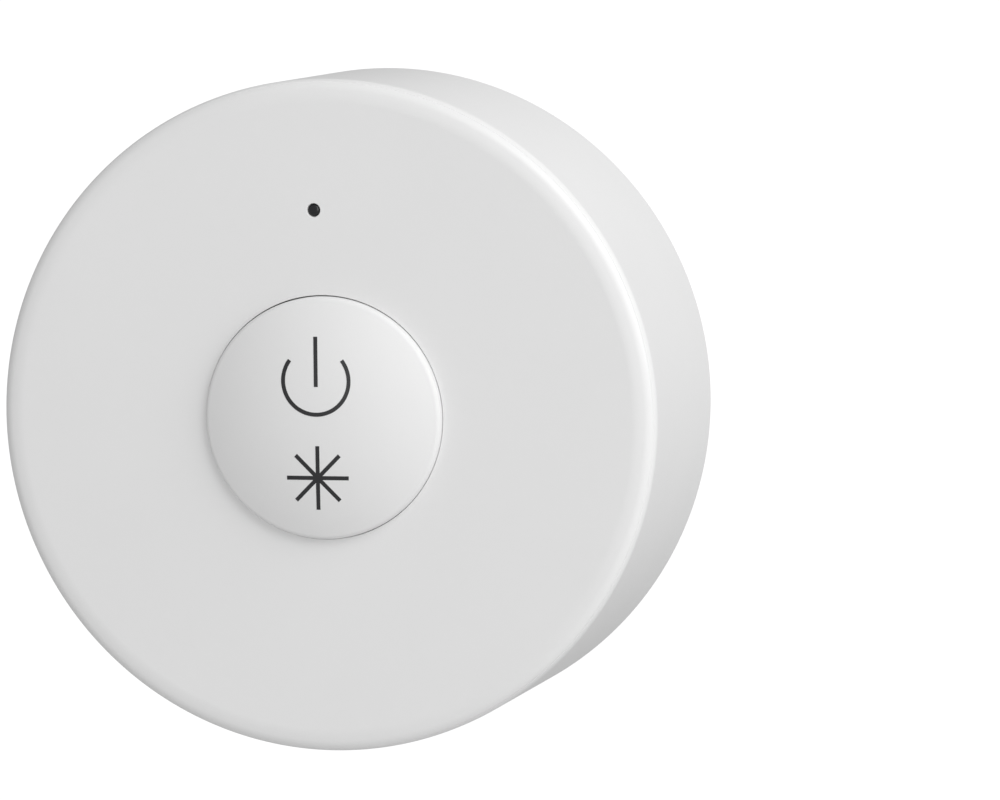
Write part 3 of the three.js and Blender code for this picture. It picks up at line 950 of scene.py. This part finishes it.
def make_pad():
    """The adhesive foam between the plate and the wall, with holes for the wall screws."""
    radius = pad_high.x
    corners = [
        (0, pad_high.y, 0),
        (radius, pad_high.y, 0.1),
        (radius, pad_low.y, 0.1),
        (0, pad_low.y, 0),
    ]
    pad = turned("foam_pad", rounded(corners, closed=False), closed=False)
    back_y, front_y = pad_high.y + BEYOND, pad_low.y - BEYOND
    places = [(side * WALL_SCREW_ASIDE, 0) for side in (-1, 1)]
    hole_radius = WALL_SCREW_RADIUS + PAD_HOLE_MARGIN
    holes = [disc("hole", hole_radius, back_y, front_y, place) for place in places]
    return shaped(pad, "DIFFERENCE", holes)


show(make_plate(), back_white, nodes=["wall_plate"])
show(make_steel_ring(), steel, nodes=["steel_ring"])
show(make_pad(), pad_foam, nodes=["adhesive_pad"])

# ---------- light ----------

SKY = 0.435  # how bright the even sky is
BACKGROUND = 1.06  # how bright the plain white behind the puck is
LIGHT_DISTANCE = 0.9  # metres
SOFTBOXES = {
    # name: azimuth, elevation, half its width in degrees, irradiance at the puck
    "main": (62, 28, 26, 1.77),
    "high": (35, 38, 14, 0.46),
    "front": (4, 6, 10, 0.39),
    "behind": (170, 35, 20, 0.15),
    "side": (90, 30, 20, 0.47),
}
FLOOR_DROP = 350.0
FLOOR_RADIUS = 1200.0


def make_world():
    """The camera sees plain white; everything else sees an even sky."""
    world = bpy.data.worlds.new("studio")
    bpy.context.scene.world = world
    world.use_nodes = True
    tree = world.node_tree
    seen = tree.nodes["Background"]
    lit = tree.nodes.new("ShaderNodeBackground")
    for background, strength in ((seen, BACKGROUND), (lit, SKY)):
        background.inputs["Color"].default_value = (1, 1, 1, 1)
        background.inputs["Strength"].default_value = strength
    mix = tree.nodes.new("ShaderNodeMixShader")
    ray = tree.nodes.new("ShaderNodeLightPath")
    tree.links.new(ray.outputs["Is Camera Ray"], mix.inputs["Fac"])
    tree.links.new(lit.outputs["Background"], mix.inputs[1])
    tree.links.new(seen.outputs["Background"], mix.inputs[2])
    tree.links.new(mix.outputs["Shader"], tree.nodes["World Output"].inputs["Surface"])


def softbox(name, azimuth, elevation, half_width, irradiance):
    """A square soft light aimed at the puck. Irradiance is in W per square metre."""
    light = bpy.data.lights.new(name, "AREA")
    light.size = 2 * LIGHT_DISTANCE * math.tan(math.radians(half_width))
    light.energy = irradiance * math.pi * LIGHT_DISTANCE**2
    lamp = bpy.data.objects.new(name, light)
    out = direction(azimuth, elevation)
    lamp.visible_camera = False
    lamp.location = out * LIGHT_DISTANCE
    lamp.rotation_euler = out.to_track_quat("Z", "Y").to_euler()
    bpy.context.scene.collection.objects.link(lamp)


def make_floor():
    """A plain pale floor, well below the puck."""
    floor = turned("floor", [(0, 0), (FLOOR_RADIUS, 0)], closed=False)
    floor.data.transform(Matrix.Rotation(math.radians(90), 4, "X"))
    floor.data.transform(Matrix.Translation((0, 0, -FLOOR_DROP)))
    floor.data.transform(Matrix.Scale(MM, 4))
    floor.data.materials.append(floor_pale)


make_world()
for name, setting in SOFTBOXES.items():
    softbox(name, *setting)
make_floor()
bpy.context.scene.view_settings.view_transform = "Standard"

# ---------- carried-over nodes ----------

node_materials = {
    "magnet_1": nickel,
    "magnet_2": nickel,
    "magnet_3": nickel,
    "magnet_4": nickel,
    "coin_cell": cell_steel,
    "battery_holder": holder_black,
    "battery_contact_positive": contact_gold,
    "battery_contact_negative": contact_gold,
    "circuit_board": board_green,
    "tact_switch_body": holder_black,
    "tact_switch_plunger": pin_grey,
    "radio_module_board": module_blue,
    "radio_shield_can": tinned,
    "microcontroller": chip_black,
    "crystal": tinned,
    "buffer_capacitor": chip_black,
    "indicator_led": led_clear,
    "pairing_switch": holder_black,
}
for node, material in node_materials.items():
    frame["nodes"][node].data.materials[0] = material
